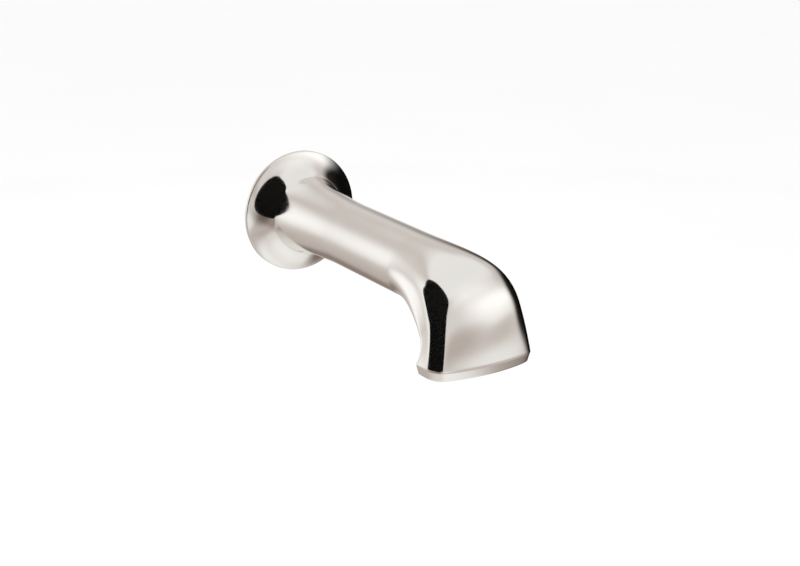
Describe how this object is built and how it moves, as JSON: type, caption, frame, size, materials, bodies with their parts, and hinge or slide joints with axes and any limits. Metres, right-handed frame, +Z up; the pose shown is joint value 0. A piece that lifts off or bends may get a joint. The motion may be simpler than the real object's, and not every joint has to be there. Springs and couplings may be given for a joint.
{
  "type": "bath spout",
  "caption": "Wall-mounted bath spout: a round flange flares into a straight tube that turns down into a wide, flat-fronted mouth with a flared lip, in polished nickel.",
  "frame": {"origin": "centre of the flange's back face, on the wall", "axes": "+Y into the wall, so the spout reaches along -Y; +Z up, with the mouth facing -Z; +X to the right of someone looking along +Y at the wall"},
  "size_m": [0.07, 0.1916, 0.0735],
  "materials": {
    "polished_nickel": "polished nickel, warm mirror",
    "turned_brass": "turned, unpolished",
    "screw_steel": "plain",
    "gasket_rubber": "matt",
    "seal_rubber": "satin"
  },
  "bodies": {
    "root": {"spout_body": "polished_nickel", "inlet_adapter": "turned_brass", "set_screw": "screw_steel", "wall_gasket": "gasket_rubber", "seal_ring_1": "seal_rubber", "seal_ring_2": "seal_rubber"}
  },
  "joints": []
}
